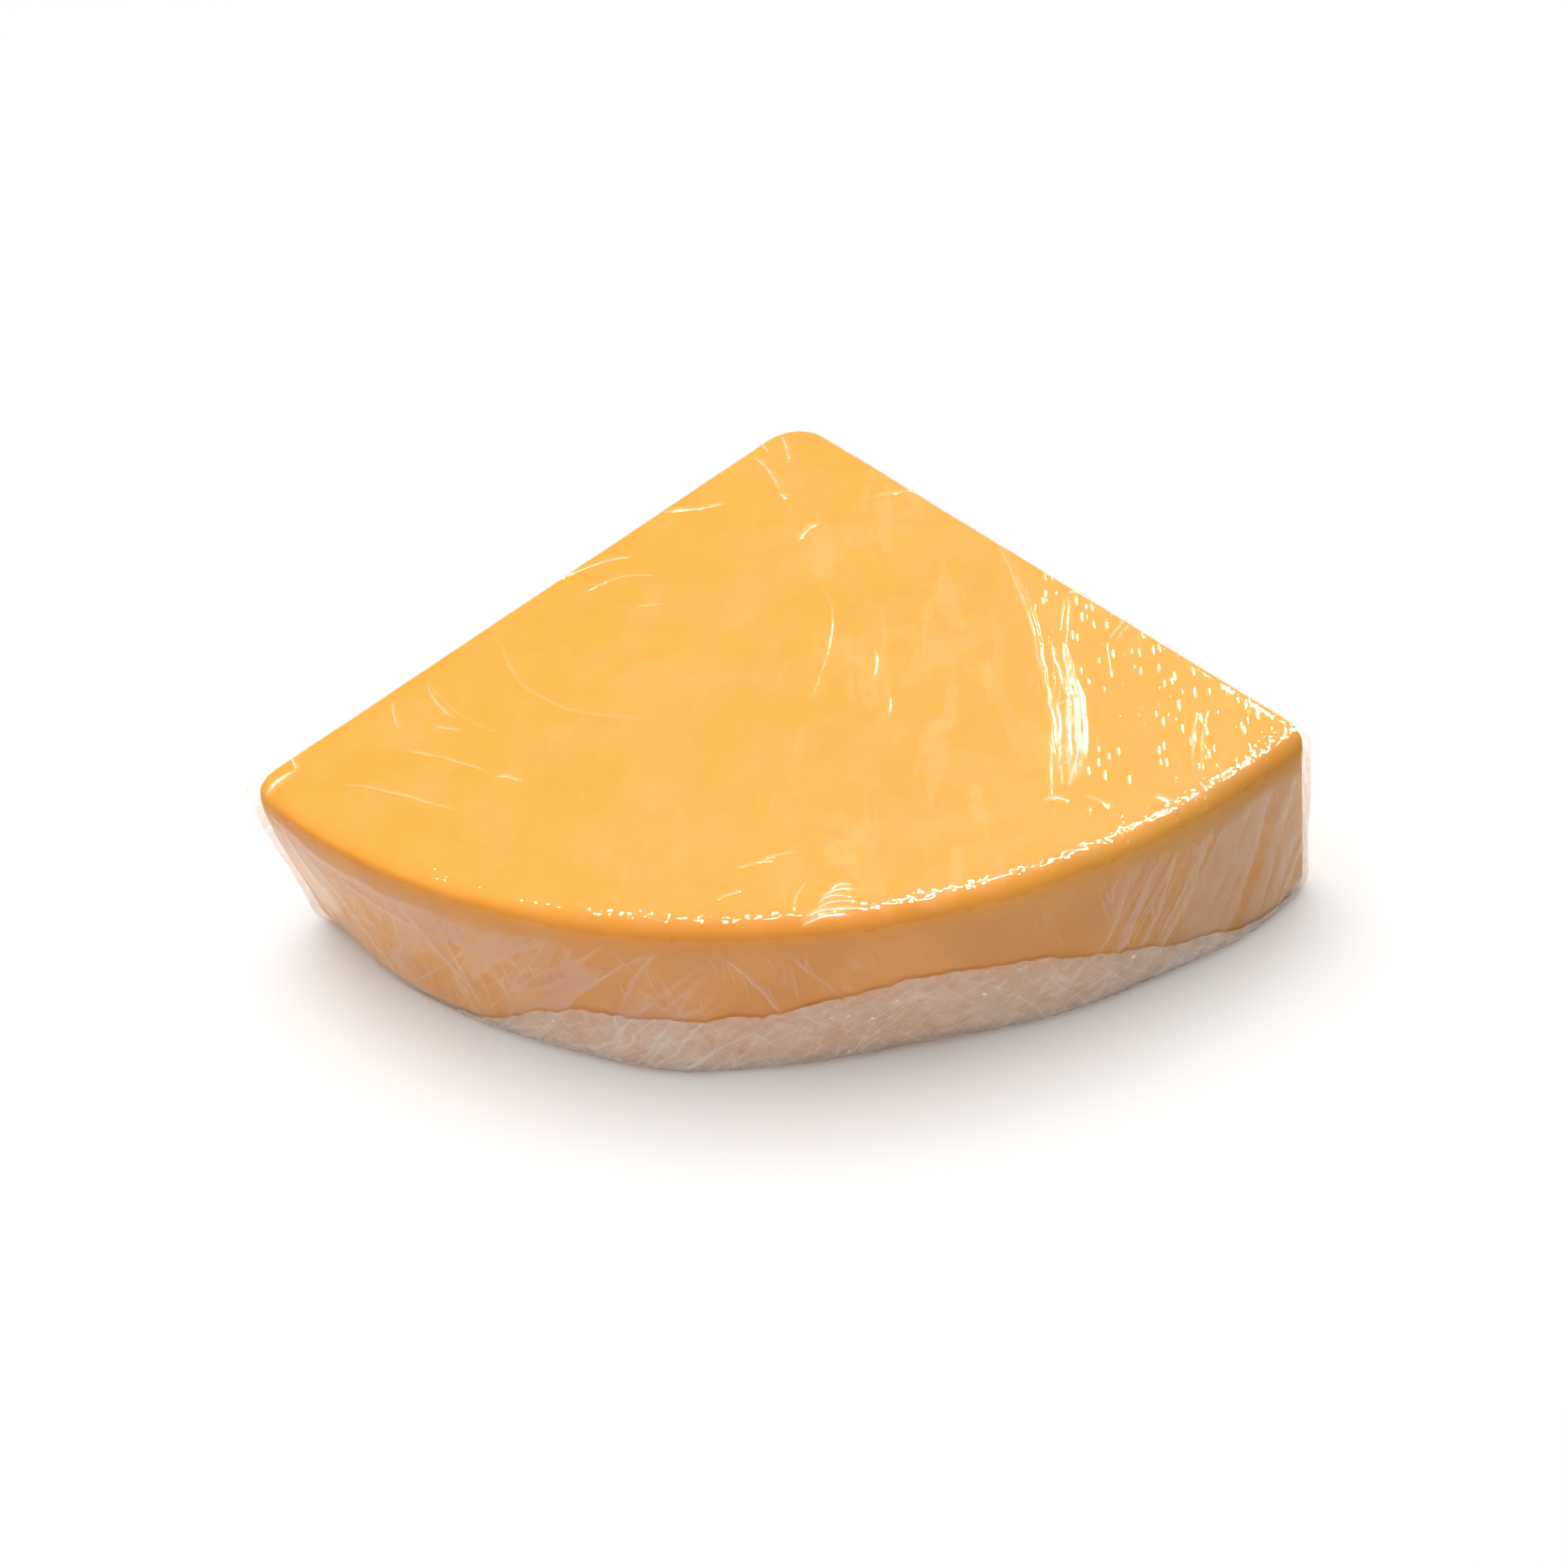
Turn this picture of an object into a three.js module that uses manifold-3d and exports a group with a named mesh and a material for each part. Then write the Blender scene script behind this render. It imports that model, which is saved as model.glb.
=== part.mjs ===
// A quarter of a round, flat cheese, wrapped in one sheet of cling film and lying on its flat underside.
// Millimetres, +Z up. The curved rind side faces -Y, the tip of the wedge points to +Y, and the
// origin is the middle of the wrapped cheese's footprint.

import * as THREE from 'three';
import { mergeVertices } from 'three/addons/utils/BufferGeometryUtils.js';
import Module from 'manifold-3d';

const wasm = await Module();
wasm.setup();

// Cheese: a wheel cut in four with a knife, then rounded a little by the tight film.
const WHEEL_RADIUS = 160;
const WHEEL_HEIGHT = 47;
const RIM_TOP_ROUND = 5;        // upper edge of the rind side
const RIM_FOOT_ROUND = 3;       // lower edge of the rind side
const RIM_LEAN = 2.2;           // how far the rind side draws in from its top to its foot
const CUT_EDGE_ROUND = 1.2;     // edges where the two cut faces meet the flat faces
const TIP_ROUND = 9.5;          // the centre of the wheel, softened to a round tip
const CORNER_ROUND = 7;         // upright edges where a cut face meets the rind side
const QUARTER_TURN = Math.PI / 2;

// Film: one stretched sheet, far thicker here than the real one so that it is a solid.
const FILM_THICKNESS = 0.25;
const FILM_GAP = 0.3;           // clear space between the film and the cheese
const FILM_CORNER_ROUND = 1.6;  // the film spans the round upright edges with a sharper fold
const FILM_FOOT_ROUND = 1.2;    // gathered folds fill out the lower edge
const SLOT_WIDTH = 20;          // the folded-under edges of the sheet stop short of each other
const SLOT_LENGTH = 62;
const SLOT_CENTRE = 98;         // distance of the slot's middle from the tip of the cut

// How finely the round stretches are divided.
const WHEEL_STEPS = 192;
const ROUND_STEPS = 5;
const OUTLINE_STEPS = 12;
const CROSSING = 0.15;          // the cutting outline bulges past the rim by this, so that the two cross

// Turns a closed three.js geometry into a solid that can be cut and joined.
function toSolid(geometry) {
  const bare = geometry.index ? geometry.toNonIndexed() : geometry.clone();
  bare.deleteAttribute('normal');
  bare.deleteAttribute('uv');
  const merged = mergeVertices(bare, 1e-4);
  const mesh = new wasm.Mesh({
    numProp: 3,
    vertProperties: new Float32Array(merged.attributes.position.array),
    triVerts: new Uint32Array(merged.index.array),
  });
  return new wasm.Manifold(mesh);
}

// Turns a solid back into a three.js geometry with its own normals.
function toGeometry(solid) {
  const mesh = solid.getMesh();
  const geometry = new THREE.BufferGeometry();
  geometry.setAttribute('position', new THREE.BufferAttribute(new Float32Array(mesh.vertProperties), 3));
  geometry.setIndex(new THREE.BufferAttribute(new Uint32Array(mesh.triVerts), 1));
  geometry.computeVertexNormals();
  return geometry;
}

// A whole wheel turned about Z: flat faces, a leaning side and two rounded edges.
function wheel(radius, lowZ, highZ, topRound, footRound) {
  const footRadius = radius - RIM_LEAN;
  const outline = [new THREE.Vector2(0, lowZ)];
  for (let i = 0; i <= ROUND_STEPS; i += 1) {
    const turn = -QUARTER_TURN * (1 - i / ROUND_STEPS);
    outline.push(new THREE.Vector2(
      footRadius - footRound * (1 - Math.cos(turn)),
      lowZ + footRound * (1 + Math.sin(turn)),
    ));
  }
  for (let i = 0; i <= ROUND_STEPS; i += 1) {
    const turn = QUARTER_TURN * (i / ROUND_STEPS);
    outline.push(new THREE.Vector2(
      radius - topRound * (1 - Math.cos(turn)),
      highZ - topRound * (1 - Math.sin(turn)),
    ));
  }
  outline.push(new THREE.Vector2(0, highZ));
  const geometry = new THREE.LatheGeometry(outline, WHEEL_STEPS);
  return toSolid(geometry.rotateX(QUARTER_TURN));
}

// The plan of a quarter with its tip at the origin, opening towards -Y. The cut lines lie
// `offset` outside the true cut, and the tip and the two corners are rounded.
function quarterOutline(radius, offset, tipRound, cornerRound) {
  const rim = radius + CROSSING;
  const half = QUARTER_TURN / 2;
  const tipCentre = offset * Math.SQRT2 - tipRound * Math.SQRT2;
  const cornerAlong = Math.sqrt((rim - cornerRound) ** 2 - (cornerRound - offset) ** 2);
  const cornerTurn = Math.atan2(cornerRound - offset, cornerAlong);
  const direction = -QUARTER_TURN;
  const left = direction - half;
  const right = direction + half;
  const corner = (angle) => new THREE.Vector2(
    (rim - cornerRound) * Math.cos(angle),
    (rim - cornerRound) * Math.sin(angle),
  );
  const leftCorner = corner(left + cornerTurn);
  const rightCorner = corner(right - cornerTurn);
  const shape = new THREE.Shape();
  shape.absarc(0, tipCentre, tipRound, right + QUARTER_TURN, left - QUARTER_TURN + 2 * Math.PI, false);
  shape.absarc(leftCorner.x, leftCorner.y, cornerRound, left - QUARTER_TURN, left + cornerTurn, false);
  shape.absarc(0, 0, rim, left + cornerTurn, right - cornerTurn, false);
  shape.absarc(rightCorner.x, rightCorner.y, cornerRound, right - cornerTurn, right + QUARTER_TURN, false);
  return shape;
}

// An upright block of that plan with its edges rounded by `edge`, from lowZ to highZ.
function quarterBlock(radius, offset, tipRound, cornerRound, edge, lowZ, highZ) {
  const shape = quarterOutline(radius - edge, offset - edge, tipRound - edge, cornerRound - edge);
  const geometry = new THREE.ExtrudeGeometry(shape, {
    depth: highZ - lowZ - 2 * edge,
    bevelEnabled: true,
    bevelSize: edge,
    bevelThickness: edge,
    bevelSegments: 3,
    curveSegments: OUTLINE_STEPS,
  });
  return toSolid(geometry.translate(0, 0, lowZ + edge));
}

// The wheel cut down to a quarter.
function makeCheese() {
  const lowZ = FILM_THICKNESS + FILM_GAP;
  const highZ = lowZ + WHEEL_HEIGHT;
  const whole = wheel(WHEEL_RADIUS, lowZ, highZ, RIM_TOP_ROUND, RIM_FOOT_ROUND);
  return whole.intersect(
    quarterBlock(WHEEL_RADIUS, 0, TIP_ROUND, CORNER_ROUND, CUT_EDGE_ROUND, lowZ, highZ),
  );
}

// The space inside the film at a distance from the cheese.
function wrappedSpace(distance) {
  const floor = FILM_THICKNESS + FILM_GAP;
  const lowZ = floor - distance;
  const highZ = floor + WHEEL_HEIGHT + distance;
  const radius = WHEEL_RADIUS + distance;
  const whole = wheel(radius, lowZ, highZ, RIM_TOP_ROUND + distance, FILM_FOOT_ROUND + distance);
  return whole.intersect(quarterBlock(
    radius,
    distance,
    TIP_ROUND + distance,
    FILM_CORNER_ROUND + distance,
    CUT_EDGE_ROUND,
    lowZ,
    highZ,
  ));
}

// The gap that the folded-under edges leave in the middle of the underside.
function undersideSlot() {
  const end = SLOT_WIDTH / 2;
  const straight = SLOT_LENGTH / 2 - end;
  const shape = new THREE.Shape();
  shape.absarc(0, -SLOT_CENTRE + straight, end, 0, Math.PI, false);
  shape.absarc(0, -SLOT_CENTRE - straight, end, Math.PI, 2 * Math.PI, false);
  const depth = FILM_THICKNESS + FILM_GAP;
  const geometry = new THREE.ExtrudeGeometry(shape, { depth, bevelEnabled: false, curveSegments: OUTLINE_STEPS });
  return toSolid(geometry.translate(0, 0, -depth / 2));
}

function makeFilm() {
  const outside = wrappedSpace(FILM_GAP + FILM_THICKNESS);
  const inside = wrappedSpace(FILM_GAP);
  return outside.subtract(inside).subtract(undersideSlot());
}

function piece(name, solid, colour, roughness, metalness) {
  const material = new THREE.MeshStandardMaterial({ color: colour, roughness, metalness });
  const mesh = new THREE.Mesh(toGeometry(solid), material);
  mesh.name = name;
  return mesh;
}

const cheese = piece('cheese', makeCheese(), 0xf2b04e, 0.5, 0);
const film = piece('film', makeFilm(), 0xf4f0ea, 0.12, 0);
film.material.transparent = true;
film.material.opacity = 0.25;

const wrappedWedge = new THREE.Group();
wrappedWedge.name = 'wrapped_cheese_wedge';
wrappedWedge.add(cheese, film);

// Moves the footprint's middle to the origin.
const middle = new THREE.Box3().setFromObject(wrappedWedge).getCenter(new THREE.Vector3());
wrappedWedge.position.set(-middle.x, -middle.y, 0);

export default wrappedWedge;
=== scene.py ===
# %% [markdown]
# # A quarter of cheese in cling film
#
# A flat, round cheese is cut in four, and one quarter is wrapped tightly in one sheet of clear film.
# Only two things are there: the cheese and the film. The cheese is soft and waxy, so its looks are
# in its colour. The film is almost nothing, so its looks are in its folds: each one lifts the film a
# fraction of a millimetre, catches a lamp and turns milky where the film lies double.

# %% Load the frame
import math
import bpy
import bmesh
import numpy as np
from mathutils import Matrix, Vector, noise
from mathutils.bvhtree import BVHTree


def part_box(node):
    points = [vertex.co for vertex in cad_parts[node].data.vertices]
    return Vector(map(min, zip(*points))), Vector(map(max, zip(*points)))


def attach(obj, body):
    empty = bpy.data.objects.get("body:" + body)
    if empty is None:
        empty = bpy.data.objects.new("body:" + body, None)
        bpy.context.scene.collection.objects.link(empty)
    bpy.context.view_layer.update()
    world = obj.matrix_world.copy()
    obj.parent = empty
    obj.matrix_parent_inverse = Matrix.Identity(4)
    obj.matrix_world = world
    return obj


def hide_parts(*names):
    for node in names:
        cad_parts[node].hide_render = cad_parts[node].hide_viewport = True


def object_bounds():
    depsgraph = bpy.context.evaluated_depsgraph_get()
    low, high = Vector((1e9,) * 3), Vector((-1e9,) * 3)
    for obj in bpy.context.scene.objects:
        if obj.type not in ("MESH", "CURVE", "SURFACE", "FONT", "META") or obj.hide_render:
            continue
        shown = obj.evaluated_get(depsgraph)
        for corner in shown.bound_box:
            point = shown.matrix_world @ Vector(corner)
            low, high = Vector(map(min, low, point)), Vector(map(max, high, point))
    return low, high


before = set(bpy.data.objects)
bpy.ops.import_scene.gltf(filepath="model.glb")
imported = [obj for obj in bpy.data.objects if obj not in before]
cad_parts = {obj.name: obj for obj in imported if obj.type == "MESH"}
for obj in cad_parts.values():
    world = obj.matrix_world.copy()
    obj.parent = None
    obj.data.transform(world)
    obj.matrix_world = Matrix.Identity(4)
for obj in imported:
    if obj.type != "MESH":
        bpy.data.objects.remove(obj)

MM = 0.001
cad_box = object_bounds()
(_, low_y, low_z), (_, high_y, high_z) = cad_box
print("CAD box, mm:", [round((b - a) / MM, 1) for a, b in zip(*cad_box)])

# %% [markdown]
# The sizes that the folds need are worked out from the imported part. The wheel's centre lies behind
# the tip, one radius back from the lowest point of the rind side. Places on the top are given in
# millimetres from the middle of the footprint, and places on the rind side by their angle round the
# wheel's centre and their height.

# %% Sizes of the wedge, in millimetres
WHEEL_RADIUS = 160.0
cheese_low, cheese_high = (np.array(c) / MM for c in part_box("cheese"))
WHEEL_CENTRE_Y = cheese_low[1] + WHEEL_RADIUS
CHEESE_FOOT = cheese_low[2]
CHEESE_TOP = cheese_high[2]
CHEESE_HEIGHT = CHEESE_TOP - CHEESE_FOOT
HALF_WEDGE = math.radians(45)
rng = np.random.default_rng(11)
print("wheel centre at y", round(WHEEL_CENTRE_Y, 1), "mm, cheese", round(CHEESE_HEIGHT, 1), "mm high")

# %% [markdown]
# The camera looks down at the wedge from in front of the rind side, a little to the right, and the
# picture is tilted, as when a shopper holds a phone over the counter. It aims at a point a tenth of
# the depth in front of the middle.

# %% Camera
CAMERA_AZIMUTH = math.radians(12.0)
CAMERA_ELEVATION = math.radians(46.2)
CAMERA_ROLL = math.radians(11.4)
CAMERA_DISTANCE = 0.5433
CAMERA_LENS_MM = 56.9
AIM_FORWARD = 0.1025


def place_camera():
    aim = Vector((0, -AIM_FORWARD * (high_y - low_y), (low_z + high_z) / 2))
    turn = Matrix.Rotation(CAMERA_AZIMUTH, 4, "Z") @ Matrix.Rotation(math.pi / 2 - CAMERA_ELEVATION, 4, "X")
    back = (turn @ Vector((0, 0, 1))).normalized()
    camera = bpy.data.objects.new("camera", bpy.data.cameras.new("camera"))
    camera.data.lens = CAMERA_LENS_MM
    camera.data.clip_start = 0.01
    camera.matrix_world = (
        Matrix.Translation(aim + back * CAMERA_DISTANCE) @ turn @ Matrix.Rotation(-CAMERA_ROLL, 4, "Z")
    )
    bpy.context.scene.collection.objects.link(camera)
    bpy.context.scene.camera = camera
    return camera


camera = place_camera()
print("camera at", [round(v, 3) for v in camera.location])

# %% [markdown]
# The studio is a pale floor, a dim sky, a pale wall behind, one large softbox and two small lamps.
# The softbox wears a polariser, so it lights the cheese but doesn't mirror in the film. The small
# lamps only mirror: they are what sparkles on the folds. The long one hangs overhead, slanted across
# the wedge, and draws the bright line along the shoulder as far as the right corner. The one behind
# the wedge catches folds that run from front to back.

# %% Floor and lights
FLOOR_SIZE = 6.0
FLOOR_GREY = 0.91
SKY_LEVEL = 0.22
WALL_LEVEL = 0.85
SOFTBOX_WATTS = 18.4
LONG_GLARE = 190.0
LONG_SLANT = math.radians(20.0)
BACK_GLARE = 34.0


def add_area_light(name, place, size, watts, mirrored=False, slant=0.0):
    """A lamp that looks at the wedge. Its long side runs at `slant` from the x axis."""
    light = bpy.data.lights.new(name, "AREA")
    light.shape = "RECTANGLE"
    light.size, light.size_y = size
    light.energy = watts
    holder = bpy.data.objects.new(name, light)
    holder.location = place
    back = Vector(place).normalized()
    across = back.cross(Vector((math.cos(slant), math.sin(slant), 0))).normalized()
    holder.rotation_euler = Matrix((across.cross(back), across, back)).transposed().to_euler()
    holder.visible_glossy = mirrored
    holder.visible_diffuse = not mirrored
    bpy.context.scene.collection.objects.link(holder)
    return holder


def add_glint(name, place, size, glare, slant=0.0):
    """A small lamp that only mirrors, with the same glare whatever its size."""
    return add_area_light(name, place, size, glare * math.pi * size[0] * size[1], True, slant)


def build_studio():
    bm = bmesh.new()
    bmesh.ops.create_grid(bm, x_segments=1, y_segments=1, size=FLOOR_SIZE / 2)
    mesh = bpy.data.meshes.new("floor")
    bm.to_mesh(mesh)
    bm.free()
    floor = bpy.data.objects.new("floor", mesh)
    bpy.context.scene.collection.objects.link(floor)
    paper = bpy.data.materials.new("pale_paper")
    paper.use_nodes = True
    shader = paper.node_tree.nodes["Principled BSDF"]
    shader.inputs["Base Color"].default_value = (FLOOR_GREY, FLOOR_GREY, FLOOR_GREY, 1)
    shader.inputs["Roughness"].default_value = 0.9
    shader.inputs["Specular IOR Level"].default_value = 0.1
    mesh.materials.append(paper)
    world = bpy.data.worlds.new("studio")
    world.use_nodes = True
    nodes, links = world.node_tree.nodes, world.node_tree.links
    direction = nodes.new("ShaderNodeTexCoord")
    split = nodes.new("ShaderNodeSeparateXYZ")
    levels = []
    for axis, low, high in (("Z", 0.5, 0.0), ("Y", -0.3, 0.4)):
        share = nodes.new("ShaderNodeMapRange")
        share.interpolation_type = "SMOOTHSTEP"
        share.inputs["From Min"].default_value = low
        share.inputs["From Max"].default_value = high
        links.new(split.outputs[axis], share.inputs["Value"])
        levels.append(share.outputs["Result"])
    wall = nodes.new("ShaderNodeMath")
    wall.operation = "MULTIPLY"
    links.new(levels[0], wall.inputs[0])
    links.new(levels[1], wall.inputs[1])
    level = nodes.new("ShaderNodeMapRange")
    level.inputs["To Min"].default_value = SKY_LEVEL
    level.inputs["To Max"].default_value = WALL_LEVEL
    links.new(direction.outputs["Generated"], split.inputs[0])
    links.new(wall.outputs[0], level.inputs["Value"])
    background = nodes["Background"]
    background.inputs["Color"].default_value = (1.0, 0.985, 0.96, 1)
    links.new(level.outputs["Result"], background.inputs["Strength"])
    bpy.context.scene.world = world
    add_area_light("softbox", (-0.06, 0.12, 1.2), (1.2, 1.2), SOFTBOX_WATTS)
    add_glint("long_lamp", (0.06, 0.30, 1.0), (0.56, 0.046), LONG_GLARE, LONG_SLANT)
    add_glint("back_lamp", (0.36, 0.68, 0.64), (0.26, 0.26), BACK_GLARE)
    bpy.context.scene.view_settings.view_transform = "Standard"
    bpy.context.scene.cycles.transparent_max_bounces = 32


build_studio()

# %% [markdown]
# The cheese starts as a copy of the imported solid. A voxel remesh turns its long triangles into an
# even grid that can be modelled like clay, and a little smoothing takes away the grid's steps. The
# film starts from the same clay, so that it follows the cheese everywhere.


# %% Helpers for the clay
def new_object(name, mesh):
    piece = bpy.data.objects.new(name, mesh)
    bpy.context.scene.collection.objects.link(piece)
    return piece


def clay_from(node, name, grid, smoothings):
    """An even mesh of a CAD node's shape, as a new mesh."""
    source = bpy.data.objects[node].data.copy()
    bm = bmesh.new()
    bm.from_mesh(source)
    bmesh.ops.remove_doubles(bm, verts=bm.verts, dist=0.01 * MM)
    bm.to_mesh(source)
    bm.free()
    source.materials.clear()
    holder = new_object(name + "_clay", source)
    remesh = holder.modifiers.new("even_grid", "REMESH")
    remesh.mode = "VOXEL"
    remesh.voxel_size = grid * MM
    remesh.adaptivity = 0
    graph = bpy.context.evaluated_depsgraph_get()
    mesh = bpy.data.meshes.new_from_object(holder.evaluated_get(graph))
    mesh.name = name
    bpy.data.objects.remove(holder)
    bm = bmesh.new()
    bm.from_mesh(mesh)
    every_axis = {"use_axis_x": True, "use_axis_y": True, "use_axis_z": True}
    for _ in range(smoothings):
        bmesh.ops.smooth_vert(bm, verts=bm.verts, factor=0.5, **every_axis)
    bm.to_mesh(mesh)
    bm.free()
    print(name, "clay:", len(mesh.polygons), "faces")
    return mesh


def places(mesh):
    """Every vertex of a mesh in millimetres, and its normal."""
    count = len(mesh.vertices)
    points = np.empty(count * 3)
    normals = np.empty(count * 3)
    mesh.vertices.foreach_get("co", points)
    mesh.vertex_normals.foreach_get("vector", normals)
    return points.reshape(-1, 3) / MM, normals.reshape(-1, 3)


def put_places(mesh, points):
    mesh.vertices.foreach_set("co", (points * MM).ravel())
    mesh.update()


def put_mask(mesh, name, values):
    layer = mesh.attributes.new(name, "FLOAT", "POINT")
    layer.data.foreach_set("value", np.clip(values, 0, 1).astype(np.float32))


def smoothly(low, high, values):
    """0 below low, 1 above high, and an S-curve between."""
    share = np.clip((values - low) / (high - low), 0, 1)
    return share * share * (3 - 2 * share)


def hill(values, middle, width):
    return np.exp(-(((values - middle) / width) ** 2))


def ripple(points, size, seed):
    """Soft noise from -1 to 1 with features of about `size` millimetres, or one size per axis."""
    scaled = points / np.broadcast_to(size, (3,)) + 17.3 * seed
    return np.array([noise.noise(Vector(p)) for p in scaled.tolist()])


def crinkle(points, size, seed):
    """0 along the borders of irregular cells of about `size` millimetres, rising inside them."""
    scaled = points / np.broadcast_to(size, (3,)) + 5.7 * seed
    found = (noise.voronoi(Vector(p))[0] for p in scaled.tolist())
    return np.array([d[1] - d[0] for d in found])


def ridges(points, size, seed, sharpness=5):
    """Thin wandering lines, near 1 on a line and 0 between, about `size` millimetres apart."""
    return (1 - np.abs(ripple(points, size, seed))) ** sharpness


def wheel_angle(points):
    return np.degrees(np.arctan2(points[:, 0], WHEEL_CENTRE_Y - points[:, 1]))


def wheel_reach(points):
    return np.hypot(points[:, 0], WHEEL_CENTRE_Y - points[:, 1])


def round_the_sides(points):
    """Millimetres round the outline from the middle of the rim, on along the cut sides to the tip."""
    angle = wheel_angle(points)
    reach = wheel_reach(points)
    on_cut = smoothly(36, 44, np.abs(angle))
    return np.radians(angle) * WHEEL_RADIUS + np.sign(angle) * (WHEEL_RADIUS - reach) * on_cut


# %% [markdown]
# A cheese isn't turned on a lathe. The rind side bellies out in places and is pressed in where it
# lay against its neighbour, and the top sinks a little between the tip and the rim. Towards the left
# corner the shoulder is squarer. Both pieces get the same sway, so that the film stays on the cheese.


# %% The unevenness
EDGE_ROUNDING = 5.0


def sway(points, normals):
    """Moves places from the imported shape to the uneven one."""
    angle = wheel_angle(points)
    upward = smoothly(0.6, 0.95, normals[:, 2])
    near_rim = smoothly(WHEEL_RADIUS - 24, WHEEL_RADIUS - 2, wheel_reach(points))
    lowness = 1 - smoothly(CHEESE_FOOT, CHEESE_TOP - 8, points[:, 2])
    belly = 1.6 * hill(angle, -9, 6)
    belly -= 2.8 * hill(angle, 11, 10)
    belly += 2.2 * hill(angle, 39, 6)
    belly -= 2.4 * hill(angle, -42, 6)
    outward = belly * lowness * near_rim
    dish = -0.5 * upward * hill(points[:, 0], 0, 60) * hill(points[:, 1], -10, 50)
    dish += 0.25 * ripple(points, 38, 1) * upward
    inward = wheel_reach(points) - (WHEEL_RADIUS - EDGE_ROUNDING)
    rise = points[:, 2] - (CHEESE_TOP - EDGE_ROUNDING)
    turning = (inward > 0.01) & (rise > 0.01)
    away = np.maximum(np.hypot(inward, rise), 0.01)
    squared = ((np.abs(inward) / away) ** 4 + (np.abs(rise) / away) ** 4) ** -0.25 - 1
    squared *= turning * 0.8 * (1 - smoothly(-26, -10, angle)) * smoothly(-44, -41, angle)
    outward += squared * inward
    dish += squared * rise
    moved = points.copy()
    moved[:, 0] += outward * np.sin(np.radians(angle))
    moved[:, 1] -= outward * np.cos(np.radians(angle))
    moved[:, 2] += dish
    return moved


# %% Model the cheese
CHEESE_GRID = 1.25

cheese_mesh = clay_from("cheese", "cheese_quarter", CHEESE_GRID, 3)
points, normals = places(cheese_mesh)
points = sway(points, normals)
points += normals * (0.10 * ripple(points, 9, 2) + 0.04 * ripple(points, 3, 3))[:, None]
points[:, 2] = np.maximum(points[:, 2], CHEESE_FOOT - 0.05)
put_places(cheese_mesh, points)
angle = wheel_angle(points)
# Rind colour mask: deeper towards the rim, partly the rind's own colour and partly painted shade on the
# shoulder and side.
rind_and_shade_start = WHEEL_RADIUS - 2.5 - 6.0 * smoothly(-26, -4, angle)
rind_and_shade = smoothly(rind_and_shade_start, WHEEL_RADIUS - 0.5, wheel_reach(points) + 1.2 * ripple(points, 12, 4))
put_mask(cheese_mesh, "rind_and_shade", rind_and_shade)
# Painted shade: the right part of the rind side is darkened, as if less light fell there.
put_mask(cheese_mesh, "painted_shade_right", smoothly(8, 36, angle + 4 * ripple(points, 20, 5)))
cheese_mesh.polygons.foreach_set("use_smooth", [True] * len(cheese_mesh.polygons))
cheese = new_object("cheese_quarter", cheese_mesh)

# %% [markdown]
# Folds in the film. Each fold is a shallow arc from one place to another with a bow, a half width, a
# height and a milkiness. The long ones were pulled in by the hands that wrapped it; they start at an
# edge and fade out on the flat. On the top a place is (x, y), and on the rind side it is (angle,
# height). A fold is milky on the left of its way, where the film lies double.

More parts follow.
